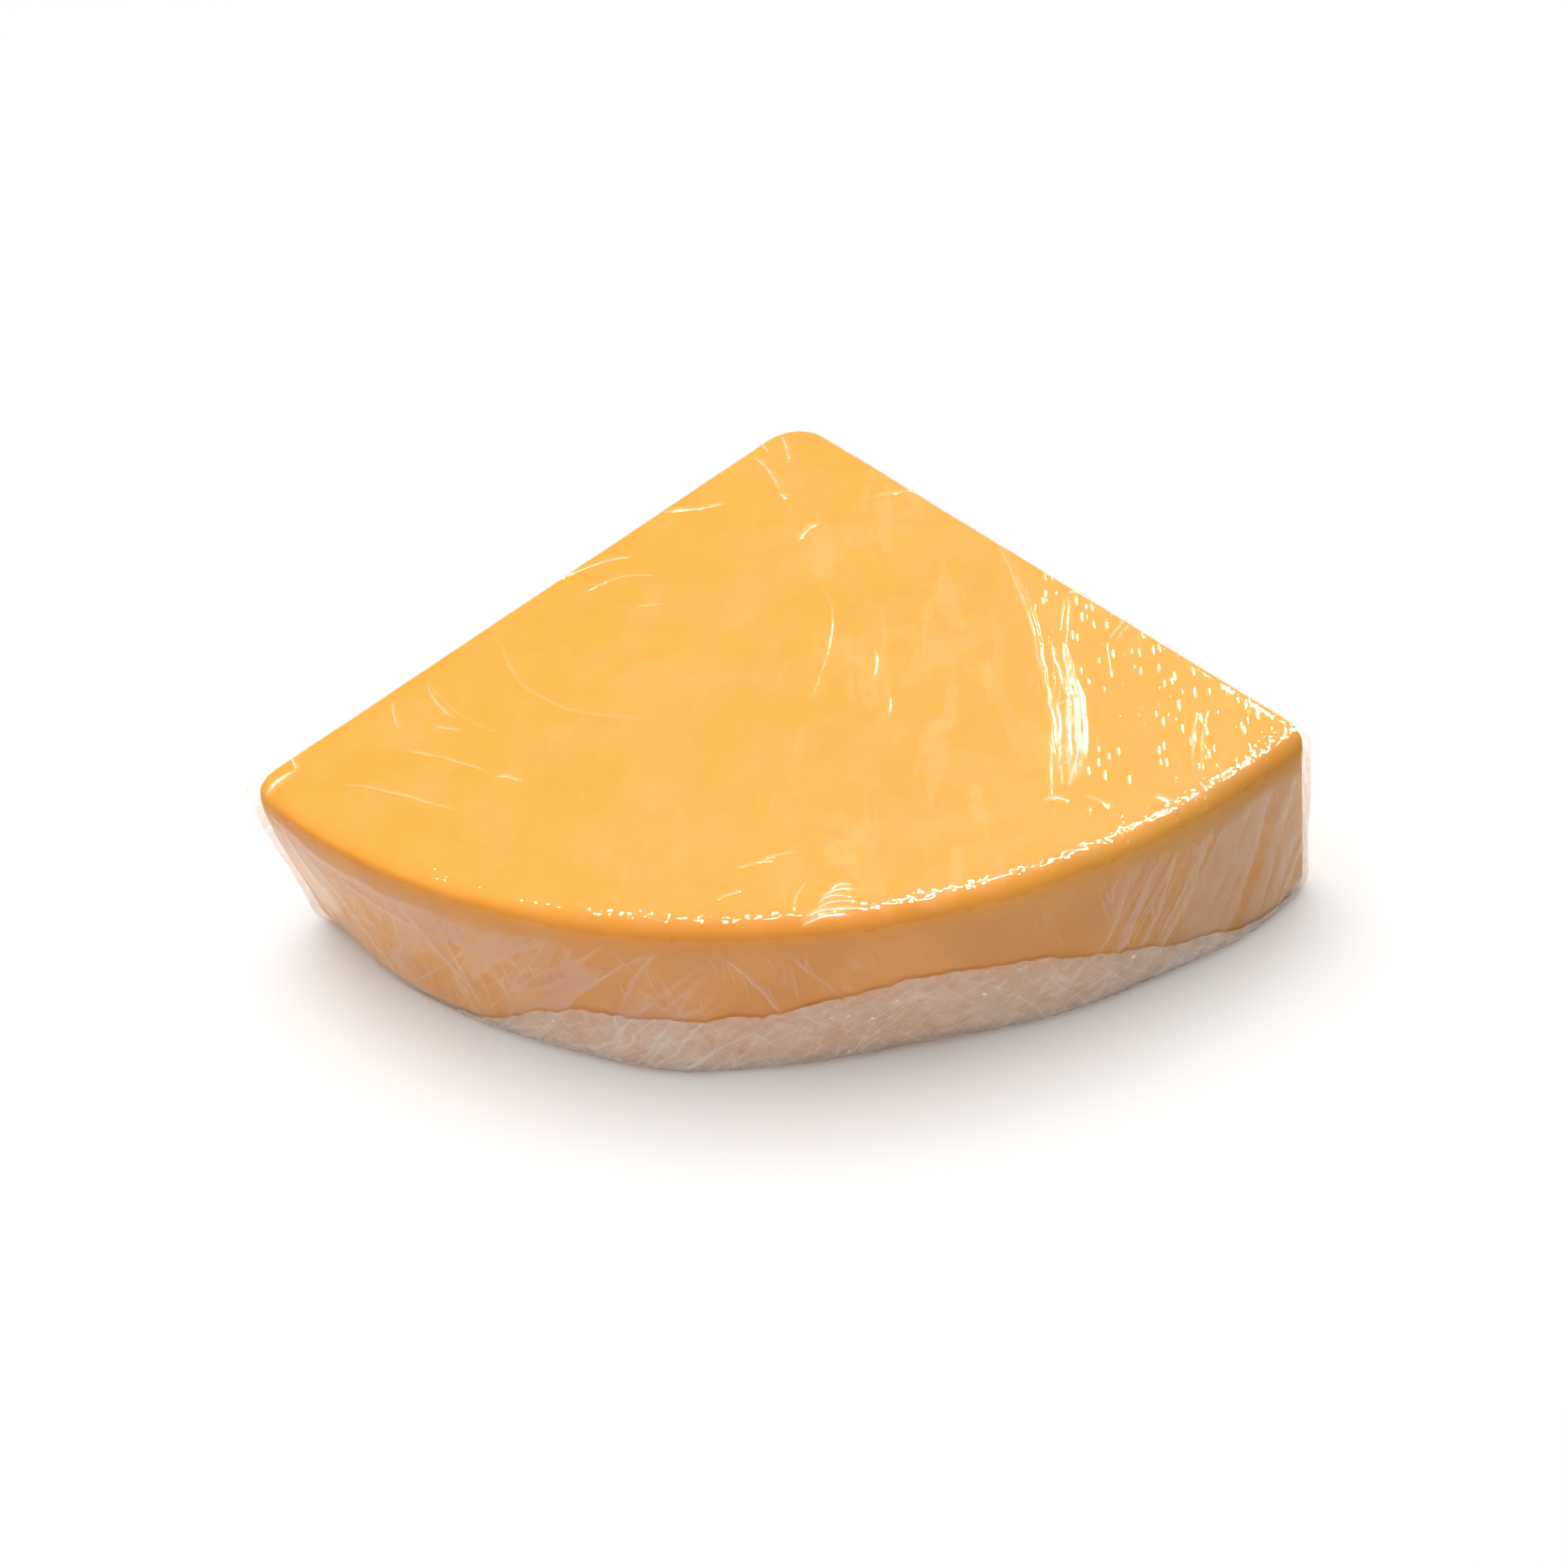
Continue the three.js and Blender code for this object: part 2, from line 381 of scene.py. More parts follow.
# %% The folds
# start, end, bow, half width, height, milkiness
TOP_FOLDS = [
    ((-78, 1), (-56, -21), -2.8, 0.35, 0.16, 0.05),
    ((-64, 12), (-21, -17), -10.0, 0.6, 0.10, 0.06),
    ((-77, -2), (-69, -14), -1.0, 0.35, 0.26, 0.18),
    ((-84, -8), (-81, -17), -0.7, 0.35, 0.26, 0.20),
    ((-73, -16), (-67, -18), 0.2, 0.30, 0.24, 0.20),
    ((-92, -32), (-62, -43), 1.0, 0.35, 0.20, 0.14),
    ((-80, -23), (-58, -31), 0.5, 0.35, 0.20, 0.16),
    ((-57, -32), (-51, -34), 0.2, 0.40, 0.30, 0.24),
    ((-30, 50), (-14, 52), -1.0, 0.50, 0.34, 0.30),
    ((-53, 27), (-33, 35), 2.0, 0.40, 0.26, 0.26),
    ((-45, 23), (-28, 28), 2.5, 0.30, 0.18, 0.16),
    ((-33, 18), (-26, 19), 0.2, 0.30, 0.14, 0.12),
    ((-10, 68), (-2, 54), 1.0, 0.50, 0.34, 0.26),
    ((-2, 53.5), (-0.5, 51), 0.2, 0.60, 0.40, 0.45),
    ((-3, 75), (-1, 64), 0.4, 0.45, 0.30, 0.26),
    ((-9, 73), (-6, 69), 0.4, 0.40, 0.26, 0.20),
    ((3, 37), (7.5, 42.5), 0.3, 0.55, 0.40, 0.45),
    ((19, 51), (32, 53), -0.6, 0.50, 0.16, 0.10),
    ((-101, -18), (-104, -24), 0.6, 0.45, 0.45, 0.45),
    ((-104, -24), (-102, -28), 0.3, 0.40, 0.40, 0.40),
    ((-102, -28), (-107, -34), -0.6, 0.45, 0.45, 0.45),
    ((11, 19), (8, -16), 2.2, 0.32, 0.22, 0.14),
    ((22, 0), (22, -9), 0.2, 0.35, 0.30, 0.30),
    ((26, -14), (26, -20), 0.1, 0.30, 0.26, 0.24),
    ((49, 32), (60, -40), 3.3, 0.60, 0.34, 0.03),
    ((48, 32), (59, -18), 1.4, 0.45, 0.20, 0.16),
    ((59, -12), (61, -34), 0.3, 0.40, 0.36, 0.34),
    ((59, 1), (64, -24), 0.6, 0.40, 0.36, 0.36),
    ((62, 0), (65, -27), 0.4, 0.45, 0.40, 0.40),
    ((63, -2), (66, -35), 0.9, 0.50, 0.44, 0.44),
    ((66, -22), (63, -44), 1.0, 0.60, 0.46, 0.44),
    ((61, -17), (61, -39), 0.5, 0.45, 0.38, 0.34),
    ((63, -10), (63.5, -41), 0.3, 0.50, 0.40, 0.40),
    ((64.5, -14), (65, -40), 0.3, 0.50, 0.40, 0.42),
    ((59.5, -28), (59.5, -46), 0.2, 0.35, 0.30, 0.24),
    ((58, -46), (63, -47), 0.5, 0.50, 0.36, 0.40),
    ((63, 14), (63, -4), 0.2, 0.30, 0.26, 0.24),
    ((62, 13), (61.5, 1), 0.2, 0.30, 0.22, 0.14),
    ((63, 14), (69, 12.5), 1.2, 0.55, 0.36, 0.40),
    ((72, -1), (72, -13), 0.1, 0.30, 0.18, 0.10),
    ((72, -1), (77, 6), 0.2, 0.30, 0.24, 0.18),
    ((73.5, -1.5), (78, 4.5), 0.2, 0.30, 0.22, 0.14),
    ((90, -23), (88, -41), -1.0, 0.35, 0.24, 0.16),
    ((92, -23), (90, -41), -1.0, 0.35, 0.24, 0.14),
    ((66, -45), (71, -49.5), 0.3, 0.60, 0.16, 0.14),
    ((79, -46), (86, -50), 0.4, 0.60, 0.14, 0.12),
    ((-3, -61), (4, -59.5), 0.3, 0.30, 0.20, 0.26),
    ((2, -59), (8, -57.5), 0.3, 0.30, 0.20, 0.22),
    ((-7, -69.5), (-2, -67), 0.2, 0.30, 0.20, 0.24),
    ((9, -72), (11, -65), 0.5, 0.30, 0.20, 0.24),
]
# Small waves pushed up against the rim by a thumb.
for k in range(6):
    jitter = rng.uniform(-1.2, 1.2, 4)
    wave_start = (11 + 0.8 * k + jitter[0], -75.5 + 1.5 * k)
    wave_end = (21 + jitter[1], -73.8 + 1.5 * k + 0.4 * jitter[2])
    TOP_FOLDS.append((wave_start, wave_end, 0.8 + 0.4 * jitter[3], 0.35, 0.36, 0.50))
RIM_FOLDS = [
    ((-24, 41), (-45, 46), 3.0, 0.8, 0.16, 0.20),
    ((-36, 6), (-41, 46), 1.5, 0.6, 0.16, 0.16),
    ((-39, 42), (-33.5, 3), 2.0, 0.5, 0.16, 0.14),
    ((-25, 31), (-35.5, 37), 0.8, 0.5, 0.14, 0.18),
    ((-29, 43), (-31, 12), -0.8, 0.6, 0.18, 0.22),
    ((-24, 14), (-28, 40), 1.4, 0.8, 0.16, 0.20),
    ((-25, 38), (-24, 8), -0.8, 0.5, 0.14, 0.14),
    ((-24, 18), (-14, 43), 3.0, 1.4, 0.16, 0.22),
    ((-22.5, 22), (-16, 44), 1.5, 0.6, 0.14, 0.16),
    ((-18, 6), (-11, 35), 2.0, 1.0, 0.16, 0.20),
    ((-14, 4), (-6, 30), 2.5, 0.7, 0.16, 0.22),
    ((-4, 24), (-17, 17), 1.5, 0.8, 0.14, 0.18),
    ((-9, 30), (-4, 8), -1.0, 0.5, 0.14, 0.20),
    ((-2, 42), (1, 18), 0.8, 0.5, 0.09, 0.14),
    ((2, 42), (6, 22), 0.8, 0.4, 0.08, 0.10),
    ((24, 12), (28, 41), -1.5, 0.5, 0.16, 0.12),
    ((25.5, 10), (30, 42), -1.5, 0.5, 0.16, 0.14),
    ((27, 8), (32, 42), -1.5, 0.6, 0.18, 0.16),
    ((29, 6), (35, 43), -1.5, 0.9, 0.20, 0.20),
    ((32, 4), (38, 43), -1.5, 0.7, 0.20, 0.18),
    ((35, 2), (40, 44), -1.5, 1.1, 0.23, 0.26),
    ((38, 2), (43, 44), -1.0, 0.9, 0.23, 0.26),
]
FOLD_SETS = "abcd"
FOLD_SPAN = 12.0


def along_arc(flat, start, end, bow):
    """Signed distance from a shallow arc, the share of the way along it and its length."""
    start, end = np.array(start, float), np.array(end, float)
    chord = end - start
    length = np.hypot(*chord)
    ahead = chord / length
    side = np.array([-ahead[1], ahead[0]])
    share = (flat - start) @ ahead / length
    held = np.clip(share, -0.2, 1.2)
    off = (flat - start) @ side - bow * 4 * held * (1 - held)
    return off, share, length


def fold_taper(share):
    return smoothly(-0.02, 0.22, share) * (1 - smoothly(0.72, 1.02, share))


def fold_lift(flat, fold):
    """Height of one fold over a flat map, no narrower than the film's grid can hold."""
    start, end, bow, half_width, height, _ = fold
    off, share, length = along_arc(flat, start, end, bow)
    width = max(half_width, 0.8)
    return 0.7 * height * np.exp(-((off / width) ** 2)) * fold_taper(share)


def sorted_into_sets(folds):
    """Shares the folds out so that neighbours are in different sets."""
    sets = {letter: [] for letter in FOLD_SETS}
    for fold in folds:
        start, end = np.array(fold[0], float), np.array(fold[1], float)
        spots = start + (end - start) * np.linspace(0, 1, 7)[:, None]
        room = {}
        for letter, members in sets.items():
            apart = [spots[:, None] - other[1][None] for other in members]
            gaps = [np.hypot(pair[..., 0], pair[..., 1]).min() for pair in apart]
            room[letter] = min(gaps, default=1000.0)
        sets[max(room, key=room.get)].append((fold, spots))
    return {letter: [fold for fold, _ in members] for letter, members in sets.items()}


def nearest_folds(flat, folds, steepest):
    """Distance from the nearest fold, with 0.5 on the fold, and that fold's height and milkiness."""
    nearest = np.full(len(flat), 1000.0)
    found = np.zeros((len(flat), 3))
    for start, end, bow, half_width, height, milk in folds:
        off, share, length = along_arc(flat, start, end, bow)
        beyond = np.maximum(np.maximum(-share, share - 1), 0) * length
        distance = np.hypot(off, beyond)
        near = distance < nearest
        nearest[near] = distance[near]
        half_widths = np.abs(off) / half_width
        inside = fold_taper(share) * (1 - smoothly(0.33 * FOLD_SPAN, 0.47 * FOLD_SPAN, half_widths))
        ridge = min(height, steepest * half_width)
        row = np.stack([off / half_width / FOLD_SPAN + 0.5, ridge * inside, milk * inside], axis=1)
        found[near] = np.clip(row, 0, 1)[near]
    return found


def rim_map(points):
    """The sides unrolled: millimetres round the outline, and height."""
    return np.stack([round_the_sides(points), points[:, 2]], axis=1)


def on_rim(place):
    return (math.radians(place[0]) * WHEEL_RADIUS, place[1])


RIM_FOLDS = [(on_rim(fold[0]), on_rim(fold[1])) + fold[2:] for fold in RIM_FOLDS]
print(len(TOP_FOLDS), "folds on the top,", len(RIM_FOLDS), "on the rind side")

# %% [markdown]
# The film is the same clay, swollen by a third of a millimetre, with its folds raised on it. The
# grid is coarser than a fold's ridge. So each point of the film also carries its distance from the
# nearest folds, and the material draws the sharp ridge line from that. A ridge is never steeper than
# what still catches a lamp.

# %% Model the film
FILM_GRID = 1.1
FILM_STANDOFF = 0.30
SLOT_HALF_WIDTH = 10.0
SLOT_HALF_LENGTH = 31.0
SLOT_CENTRE_Y = WHEEL_CENTRE_Y - 98.0
STEEPEST_ON_TOP = 0.42
STEEPEST_ON_SIDES = 0.06


def put_vectors(mesh, name, rows):
    layer = mesh.attributes.new(name, "FLOAT_VECTOR", "POINT")
    layer.data.foreach_set("vector", rows.astype(np.float32).ravel())


def open_slot(mesh):
    """Takes out the gap that the folded-under edges leave in the middle of the underside."""
    bm = bmesh.new()
    bm.from_mesh(mesh)
    gone = []
    for face in bm.faces:
        c = face.calc_center_median() / MM
        wavy = 2.0 * noise.noise(Vector((c.x / 6, c.y / 6, 3.1)))
        across = abs(c.x) / (SLOT_HALF_WIDTH - 1 + wavy)
        along = abs(c.y - SLOT_CENTRE_Y) / (SLOT_HALF_LENGTH + wavy)
        if c.z < 1.2 and across**4 + along**4 < 1 and face.normal.z < -0.9:
            gone.append(face)
    bmesh.ops.delete(bm, geom=gone, context="FACES")
    bm.to_mesh(mesh)
    bm.free()


film_mesh = clay_from("cheese", "film_wrap", FILM_GRID, 4)
open_slot(film_mesh)
points, normals = places(film_mesh)
flat_points = points.copy()
points = sway(points, normals)
angle = wheel_angle(flat_points)
reach = wheel_reach(flat_points)
height_share = (flat_points[:, 2] - CHEESE_FOOT) / CHEESE_HEIGHT
topward = smoothly(0.5, 0.95, normals[:, 2])
underneath = smoothly(0.5, 0.95, -normals[:, 2])
sideward = 1 - smoothly(0.3, 0.8, np.abs(normals[:, 2]))
on_top = normals[:, 2] > 0.6
on_side = np.abs(normals[:, 2]) <= 0.6
unrolled = rim_map(flat_points)

# The listed folds, wandering a little.
wander = np.stack([ripple(flat_points, 5, 41), ripple(flat_points, 5, 42)], axis=1)
wander += 1.5 * np.stack([ripple(flat_points, 14, 43), ripple(flat_points, 14, 44)], axis=1)
top_map = flat_points[:, :2] + 0.45 * wander
side_map = unrolled + 0.7 * wander
fold_height = np.zeros(len(points))
for fold in TOP_FOLDS:
    fold_height += fold_lift(top_map, fold) * on_top
for fold in RIM_FOLDS:
    fold_height += fold_lift(side_map, fold) * on_side * (reach > WHEEL_RADIUS - 9)
top_sets = sorted_into_sets(TOP_FOLDS)
rim_sets = sorted_into_sets(RIM_FOLDS)
for letter in FOLD_SETS:
    rows = np.full((len(points), 3), (1.0, 0.0, 0.0))
    rows[on_top] = nearest_folds(top_map[on_top], top_sets[letter], STEEPEST_ON_TOP)
    rows[on_side] = nearest_folds(side_map[on_side], rim_sets[letter], STEEPEST_ON_SIDES)
    put_vectors(film_mesh, "fold_" + letter, rows)

# Upright tension wrinkles on all three sides, stronger towards the foot.
drawn = ridges(flat_points, (5, 5, 45), 4, 8) + 0.5 * ridges(flat_points, (2.6, 2.6, 22), 5, 8)
foot_pull = 0.25 + 0.75 * (1 - smoothly(0.05, 0.6, height_share))
wrinkles = 0.30 * drawn * foot_pull * sideward
crumple = crinkle(flat_points, (6, 6, 4), 6) + 0.5 * crinkle(flat_points, (2.6, 2.6, 2.6), 7)
footward = (1 - smoothly(0.02, 0.22, height_share)) * (1 - underneath)
wrinkles += 0.22 * (1 - crumple) * footward * sideward
# The film is less taut at the right end of the top.
loose = smoothly(40, 95, flat_points[:, 0] + 8 * ripple(flat_points, 20, 8)) * topward
calm = smoothly(WHEEL_RADIUS - 15, WHEEL_RADIUS - 9, reach)
ripples = 1 + ripple(flat_points, (3.4, 4.6, 4), 9)
wrinkles += topward * (0.05 + 0.16 * loose) * (1 - 0.85 * calm) * ripples
wrinkles += 0.10 * underneath * (1 + ripple(flat_points, (6, 6, 6), 10))
# Over the rim it is gathered in small puckers.
rim_edge = hill(reach, WHEEL_RADIUS - 4, 5) * smoothly(CHEESE_TOP - 5, CHEESE_TOP - 2, flat_points[:, 2])
wrinkles += 0.08 * rim_edge * (1 + ripple(flat_points, (4, 4, 4), 11))

lift = FILM_STANDOFF + fold_height + np.maximum(wrinkles, 0)
points += normals * lift[:, None]
# The film spans the round upright corners like a tent.
TENT_HALF_WIDTH = 5.5
silver = np.zeros(len(points))
for turn, pull in ((-1, 2.6), (1, 1.5)):
    corner = np.array([turn * math.sin(HALF_WEDGE), -math.cos(HALF_WEDGE)]) * WHEEL_RADIUS
    corner += (0, WHEEL_CENTRE_Y)
    bisector = np.array([turn * math.sin(2 * HALF_WEDGE), -math.cos(2 * HALF_WEDGE)])
    offset = flat_points[:, :2] - corner
    across = offset @ np.array([-bisector[1], bisector[0]])
    depth = -(offset @ bisector)
    near_corner = np.clip(1 - np.abs(across) / TENT_HALF_WIDTH, 0, 1)
    near_corner *= 1 - smoothly(3, 9, depth)
    near_corner *= 1 - 0.8 * underneath
    tent = near_corner * (pull * (0.55 + 0.45 * smoothly(0.2, 0.9, height_share)))
    tent *= 1 + 0.35 * ripple(flat_points, (40, 40, 9), 12 + turn)
    points[:, :2] += bisector * tent[:, None]
    silver += np.exp(-((across / 5.0) ** 2)) * (1 - smoothly(4, 12, depth))
points[:, 2] = np.clip(points[:, 2], 0.03, None)
under = underneath > 0.5
points[under, 2] = np.minimum(points[under, 2], CHEESE_FOOT - 0.15)
put_places(film_mesh, points)

# Where the film lies double on the rind side: (angle, height, half size round, half size up, lean, tone).
FLAPS = [
    (-40, 37, 5.0, 9, 0.5, 0.05),
    (-34, 31, 3.0, 10, 0.6, 0.04),
    (-30, 37, 3.5, 6, 0.2, 0.03),
    (-27, 27, 2.5, 13, -0.1, 0.04),
    (-22, 34, 3.0, 8, 0.5, 0.04),
    (-18, 26, 2.5, 12, 0.7, 0.08),
    (-12, 18, 3.0, 11, 0.8, 0.12),
    (-11, 32, 2.5, 6, 0.9, 0.09),
    (-5, 24, 2.0, 10, -0.2, 0.08),
    (1, 33, 2.5, 8, -0.4, 0.06),
]
# Strips between the pleats at the right end: (start, end, tone) in degrees at mid height.
STRIPS = [
    (27.0, 28.2, 0.07),
    (29.4, 33.4, 0.09),
    (36.2, 38.0, 0.10),
    (41.5, 46.0, 0.16),
]


def doubled_film(unrolled):
    """Milkiness of the flaps and strips over the unrolled sides."""
    around = unrolled[:, 0] + 2.0 * wander[:, 0]
    up = unrolled[:, 1] + 2.0 * wander[:, 1]
    tone = np.zeros(len(unrolled))
    for turn, height, half_around, half_up, lean, depth in FLAPS:
        place = math.radians(turn) * WHEEL_RADIUS
        rise = (up - height) / half_up
        across = (around - place - lean * (up - height)) / (math.radians(half_around) * WHEEL_RADIUS)
        hard_edge = smoothly(-1.06, -0.90, across)
        soft_edge = 1 - smoothly(0.1, 1.1, across)
        tone += depth * hard_edge * soft_edge * (1 - smoothly(0.7, 1.05, np.abs(rise)))
    leaning = np.degrees(around / WHEEL_RADIUS) + 0.18 * (24 - up)
    for start, end, depth in STRIPS:
        tone += depth * smoothly(start, start + 0.5, leaning) * (1 - smoothly(end - 0.4, end, leaning))
    return tone


side_start = CHEESE_TOP - 7 + 2.5 * ripple(flat_points, (14, 14, 60), 14)
on_rind = (1 - smoothly(-2, 2, flat_points[:, 2] - side_start)) * (1 - topward)
pale = smoothly(0.10, 0.22, ripple(flat_points, (24, 17, 20), 15))
pale += smoothly(0.2, 0.3, ripple(flat_points, (9, 13, 9), 17))
veil = 0.003 + 0.022 * topward * pale
veil += 0.015 * on_rind + 0.03 * on_rind * footward
veil += 0.33 * on_rind * doubled_film(unrolled)
uneven = 0.6 + 0.8 * smoothly(-0.3, 0.3, ripple(flat_points, (4, 4, 30), 18))
veil += 0.22 * silver * on_rind * uneven
put_mask(film_mesh, "veil", veil)
put_mask(film_mesh, "loose", np.maximum(loose, footward))
to_back_edge = (WHEEL_CENTRE_Y - flat_points[:, 1] - flat_points[:, 0]) / math.sqrt(2)
by_edge = (1 - smoothly(6, 15, to_back_edge)) * smoothly(50, 62, flat_points[:, 0]) * topward
by_edge = np.maximum(by_edge, smoothly(78, 88, flat_points[:, 0]) * topward)
by_edge *= smoothly(-0.45, -0.2, ripple(flat_points, (8, 8, 8), 20))
clumps = 0.8 * smoothly(-0.10, 0.10, ripple(flat_points, (9, 9, 9), 16))
bubbly = np.maximum(smoothly(0.1, 0.6, loose) * clumps, by_edge)
put_mask(film_mesh, "bubbly", bubbly * (1 - 0.7 * calm))
put_mask(film_mesh, "rim_edge", rim_edge)
hazy = (0.2 + 0.8 * smoothly(-5, 25, flat_points[:, 0])) * (1 - 0.8 * smoothly(44, 58, flat_points[:, 0]))
put_mask(film_mesh, "haze", topward * hazy)
# The film's warm tint is painted light from the cheese beneath, yellower on faces that look up; this mask
# says where.
put_mask(film_mesh, "warm", smoothly(0.3, 0.8, normals[:, 2]))
put_mask(film_mesh, "slack", on_rind * (1 - smoothly(-10, 0, angle)))
draped = smoothly(28, 33, flat_points[:, 2] + 3 * ripple(flat_points, (9, 9, 9), 19))
put_mask(film_mesh, "draped", draped * (1 - smoothly(-24, -12, angle)))
put_mask(film_mesh, "pleats", on_rind * smoothly(22, 30, angle))
put_mask(film_mesh, "upright", on_rind)
put_mask(film_mesh, "crushed", 0.3 * footward * on_rind)
put_vectors(film_mesh, "unrolled", np.column_stack([unrolled * MM, np.zeros(len(points))]))
film_mesh.polygons.foreach_set("use_smooth", [True] * len(film_mesh.polygons))
film = new_object("film_wrap", film_mesh)
# Milky film passes light on to the cheese, so it casts no shadow of its own.
film.visible_shadow = False
print("film:", len(film_mesh.polygons), "faces")

# %% [markdown]
# The sheet's loose end comes up from under the wedge and is pressed on the foot of the rind side. It
# lies there in many small creases, so that band is the milkiest part of the wrap. It starts as a
# flat grid. Its rows run from under the wedge, round the foot and up to a ragged edge.

# %% Model the loose end
TAIL_GRID = 0.75
TAIL_START, TAIL_END = -27.0, 43.0
TAIL_TUCK = 13.0
TAIL_RISE = 27.0
LEAST_GAP = 0.40
# Sets of creases: slant, distance apart, seed, share.
TAIL_CREASES = [
    (0.9, 4.5, 24, 0.5),
    (1.5, 3.5, 25, 0.3),
    (-0.7, 6.0, 26, 0.35),
    (0.2, 5.0, 29, 0.25),
]
TAIL_STANDOFF = 0.60


def tail_top(angle):
    """Height of the loose end's edge, by the angle round the wheel."""
    hump = 19 + 8 * hill(angle, 12, 10)
    ends = smoothly(-26, -14, angle) * (1 - smoothly(20, 42, angle))
    return 3.5 + (hump - 3.5) * ends


def film_reach(tree, angle, height):
    """How far out the film lies, by angle and height, as a ray from outside finds it."""
    ahead = Vector((math.sin(math.radians(angle)), -math.cos(math.radians(angle)), 0))
    start = Vector((0, WHEEL_CENTRE_Y, height)) + ahead * (WHEEL_RADIUS + 40)
    place, _, _, distance = tree.ray_cast(start * MM, -ahead)
    return WHEEL_RADIUS + 40 - distance / MM if place is not None else WHEEL_RADIUS - 1


def build_tail():
    length = math.radians(TAIL_END - TAIL_START) * WHEEL_RADIUS
    columns = int(length / TAIL_GRID)
    rows = int((TAIL_TUCK + TAIL_RISE) / TAIL_GRID)
    bm = bmesh.new()
    bmesh.ops.create_grid(bm, x_segments=columns, y_segments=rows, size=0.5)
    mesh = bpy.data.meshes.new("film_tail")
    bm.to_mesh(mesh)
    bm.free()
    cells, _ = places(mesh)
    cells = cells * MM + 0.5
    angle = TAIL_START + (TAIL_END - TAIL_START) * cells[:, 0]
    around = np.radians(angle) * WHEEL_RADIUS
    unrolled = np.stack([around, cells[:, 1] * (TAIL_TUCK + TAIL_RISE), np.zeros(len(cells))], axis=1)
    angle = angle + 0.5 * ripple(unrolled, (9, 9, 1), 21)
    edge = tail_top(angle)
    edge += 1.6 * ripple(unrolled * (1, 0, 0), (7, 1, 1), 22)
    edge += 0.8 * ripple(unrolled * (1, 0, 0), (2, 1, 1), 23)
    travel = -TAIL_TUCK + cells[:, 1] * (TAIL_TUCK + edge)
    height = np.maximum(travel, 0.0)
    graph = bmesh.new()
    graph.from_mesh(film_mesh)
    tree = BVHTree.FromBMesh(graph)
    graph.free()
    reach = np.array([film_reach(tree, a, h) for a, h in zip(angle, np.maximum(height, 1.0))])
    sheet_map = np.stack([unrolled[:, 0], travel, 0 * travel], axis=1)
    unturned = sheet_map.copy()
    sheet_map[:, 0] += 2.5 * ripple(sheet_map, (12, 9, 1), 31)
    sheet_map[:, 1] += 2.0 * ripple(sheet_map, (10, 12, 1), 32)
    rightward = smoothly(0, 14, angle)
    creases = np.zeros(len(cells))
    for slant, size, seed, share in TAIL_CREASES:
        turned_map = sheet_map.copy()
        turned_map[:, 0] -= slant * sheet_map[:, 1]
        lines = ridges(turned_map, (size, 5 * size, 1), seed, 6)
        strength = rightward if slant > 0.5 else 1 - 0.6 * rightward
        creases += share * lines * (0.35 + 0.65 * strength)
    upper = smoothly(0.78, 1.0, cells[:, 1])
    out = (0.35 * creases + 0.35 * ripple(sheet_map, (11, 7, 1), 27)) * (1 - 0.8 * upper)
    out += TAIL_STANDOFF * (1 - 0.6 * upper)
    rising = smoothly(-3, 2, travel)
    radius = reach + np.maximum(out, LEAST_GAP) * rising - np.maximum(-travel, 0)
    lifted = np.where(travel > 0, travel, 0.0)
    turned = np.radians(angle)
    across = radius * np.sin(turned)
    forward = WHEEL_CENTRE_Y - radius * np.cos(turned)
    put_places(mesh, np.stack([across, forward, lifted + 0.02], axis=1))
    whole = smoothly(-26, -10, angle)
    milk = 0.29 + 0.05 * np.clip(creases, 0, 1)
    milk += 0.07 * smoothly(-0.1, 0.4, ripple(sheet_map, (16, 9, 1), 28))
    milk *= (1 - 0.15 * upper) * (0.8 + 0.2 * whole) * (0.5 + 0.5 * smoothly(0.5, 2.5, travel))
    crushed = (0.55 + 0.45 * whole) * (1 - 0.6 * upper) * (0.3 + 0.7 * smoothly(0.5, 3.5, travel))
    put_mask(mesh, "veil", milk)
    put_mask(mesh, "loose", np.full(len(milk), 0.5))
    put_mask(mesh, "crushed", crushed)
    put_mask(mesh, "slack", 0.8 * (1 - smoothly(-6, 6, angle)))
    for name in ("bubbly", "rim_edge", "pleats", "upright", "haze", "warm", "draped"):
        put_mask(mesh, name, np.zeros(len(milk)))
    for letter in FOLD_SETS:
        put_vectors(mesh, "fold_" + letter, np.full((len(milk), 3), (1.0, 0.0, 0.0)))
    put_vectors(mesh, "unrolled", unturned * MM)
    mesh.polygons.foreach_set("use_smooth", [True] * len(mesh.polygons))
    print("loose end:", len(mesh.polygons), "faces")
    return mesh


def join_into(mesh, other):
    """Adds another mesh's faces to a mesh: the same sheet, so the same piece."""
    bm = bmesh.new()
    bm.from_mesh(mesh)
    bm.from_mesh(other)
    bm.to_mesh(mesh)
    bm.free()
    bpy.data.meshes.remove(other)


join_into(film_mesh, build_tail())
film_mesh.update()
print("film with its loose end:", len(film_mesh.polygons), "faces")


# %% [markdown]
# Materials are node trees. Small helpers keep them short.

